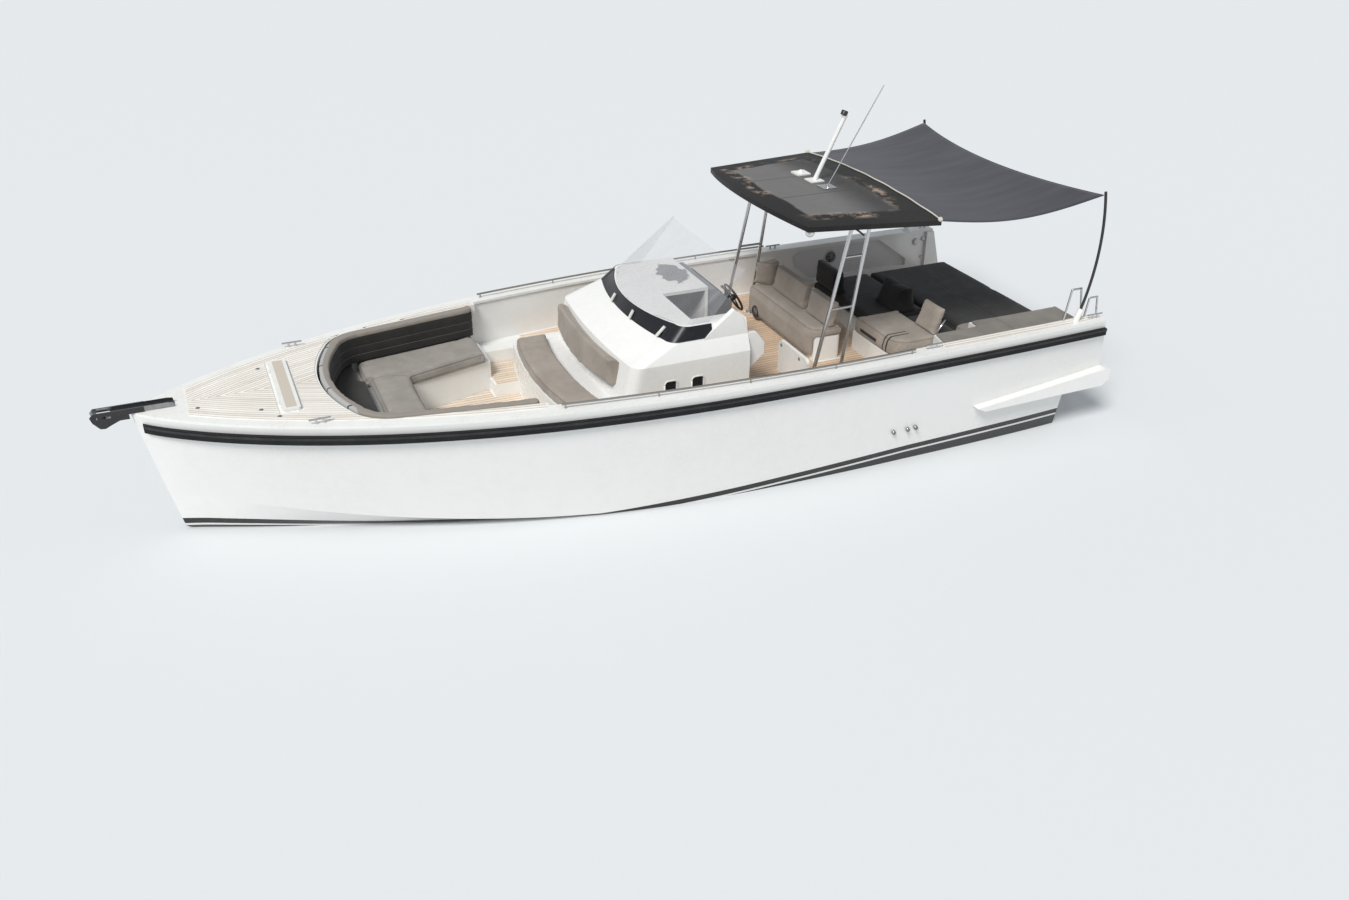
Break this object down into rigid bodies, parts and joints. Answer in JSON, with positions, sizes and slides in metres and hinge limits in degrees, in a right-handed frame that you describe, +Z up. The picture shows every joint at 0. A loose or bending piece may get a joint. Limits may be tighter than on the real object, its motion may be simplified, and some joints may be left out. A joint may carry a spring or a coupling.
{
  "type": "open motor day boat (speedboat), 12 m class",
  "caption": "Open motor day boat afloat, white hull with black rub rail, teak foredeck, bow seat, console with low screen, hardtop with shade cloth and aft sun lounge.",
  "frame": {"origin": "on the centreline at the waterline, 6.0 m aft of the stem head", "axes": "+X forward, +Y to port, +Z up"},
  "size_m": [11.703, 4.0064, 5.2135],
  "materials": {
    "hull_paint": "gloss",
    "gelcoat_white": "gloss",
    "teak": "matte",
    "rubber_black": "satin",
    "glass_dark": "gloss",
    "glass_tint": "gloss",
    "dash_grey": "matte",
    "black_plastic": "satin",
    "upholstery_taupe": "matte",
    "upholstery_dark": "matte",
    "engine_grey": "satin",
    "roof_dark": "satin",
    "stainless": "satin",
    "shade_mesh": "matte",
    "drive_paint": "satin",
    "bronze": "satin"
  },
  "bodies": {
    "boat": {"hull": "hull_paint", "topsides": "hull_paint", "bulwarks": "hull_paint", "bow_bulwarks": "hull_paint", "side_decks": "gelcoat_white", "deck": "gelcoat_white", "foredeck_teak": "teak", "rub_rail": "rubber_black", "rub_strip": "stainless", "teak_soles": "teak", "console": "gelcoat_white", "cabin_windows": "glass_dark", "glazing_band": "glass_dark", "windscreen": "glass_tint", "dash": "dash_grey", "bow_cushions": "upholstery_taupe", "bow_pad": "upholstery_dark", "bow_backrest": "upholstery_dark", "console_seat": "upholstery_taupe", "console_backrest": "upholstery_taupe", "helm_bench": "gelcoat_white", "helm_cushion": "upholstery_taupe", "helm_backrests": "upholstery_taupe", "side_board": "gelcoat_white", "quarter_locker": "gelcoat_white", "quarter_pad": "upholstery_taupe", "port_seat": "gelcoat_white", "port_cushion": "upholstery_taupe", "port_pad": "upholstery_dark", "port_backrest": "upholstery_taupe", "sofa_base": "gelcoat_white", "sofa_cushion": "upholstery_dark", "sofa_backrests": "upholstery_dark", "engines": "engine_grey", "hardtop": "roof_dark", "roof_legs": "stainless", "mast": "gelcoat_white", "roof_dome": "gelcoat_white", "aerial": "stainless", "shade_cloth": "shade_mesh", "shade_poles": "black_plastic", "pole_sockets": "gelcoat_white", "handrails": "stainless", "bow_roller": "stainless", "roller_cheeks": "black_plastic", "cleats": "stainless", "stern_hoops": "stainless"},
    "foredeck_lid": {"foredeck_lid": "teak"},
    "wheel": {"steering_wheel": "black_plastic"},
    "lounge": {"lounge_lid": "gelcoat_white", "lounge_pads": "upholstery_dark"},
    "roller": {"roller_drum": "black_plastic"},
    "drive_port": {"drive_port": "drive_paint"},
    "drive_starboard": {"drive_starboard": "drive_paint"},
    "propeller_port_aft": {"propeller_port_aft": "bronze"},
    "propeller_port_fore": {"propeller_port_fore": "bronze"},
    "propeller_starboard_aft": {"propeller_starboard_aft": "bronze"},
    "propeller_starboard_fore": {"propeller_starboard_fore": "bronze"}
  },
  "joints": [
    {"name": "foredeck_lid_hinge", "type": "hinge", "parent": "boat", "child": "foredeck_lid", "pos_m": [4.578, 0, 1.5203], "axis": [0, 1, 0], "range_deg": [0, 85]},
    {"name": "wheel_turn", "type": "hinge", "parent": "boat", "child": "wheel", "pos_m": [-1.01, -0.23, 1.6], "axis": [-0.8829, 0, 0.4695], "range_deg": [-540, 540]},
    {"name": "lounge_hinge", "type": "hinge", "parent": "boat", "child": "lounge", "pos_m": [-4.908, 0, 0.9283], "axis": [0, -1, 0], "range_deg": [0, 45]},
    {"name": "roller_turn", "type": "hinge", "parent": "boat", "child": "roller", "pos_m": [6.28, 0, 1.43], "axis": [0, 1, 0], "continuous": true},
    {"name": "drive_port_steer", "type": "hinge", "parent": "boat", "child": "drive_port", "pos_m": [-3.9, 0.75, -0.465], "axis": [0, 0, 1], "range_deg": [-27, 27]},
    {"name": "propeller_port_aft_turn", "type": "hinge", "parent": "drive_port", "child": "propeller_port_aft", "pos_m": [-3.7, 0.75, -0.85], "axis": [1, 0, 0], "continuous": true},
    {"name": "propeller_port_fore_turn", "type": "hinge", "parent": "drive_port", "child": "propeller_port_fore", "pos_m": [-3.6, 0.75, -0.85], "axis": [1, 0, 0], "continuous": true},
    {"name": "drive_starboard_steer", "type": "hinge", "parent": "boat", "child": "drive_starboard", "pos_m": [-3.9, -0.75, -0.465], "axis": [0, 0, 1], "range_deg": [-27, 27]},
    {"name": "propeller_starboard_aft_turn", "type": "hinge", "parent": "drive_starboard", "child": "propeller_starboard_aft", "pos_m": [-3.7, -0.75, -0.85], "axis": [1, 0, 0], "continuous": true},
    {"name": "propeller_starboard_fore_turn", "type": "hinge", "parent": "drive_starboard", "child": "propeller_starboard_fore", "pos_m": [-3.6, -0.75, -0.85], "axis": [1, 0, 0], "continuous": true}
  ],
  "couplings": [
    {"joint": "propeller_port_fore_turn", "follows": "propeller_port_aft_turn", "ratio": -1},
    {"joint": "propeller_starboard_fore_turn", "follows": "propeller_starboard_aft_turn", "ratio": -1}
  ]
}
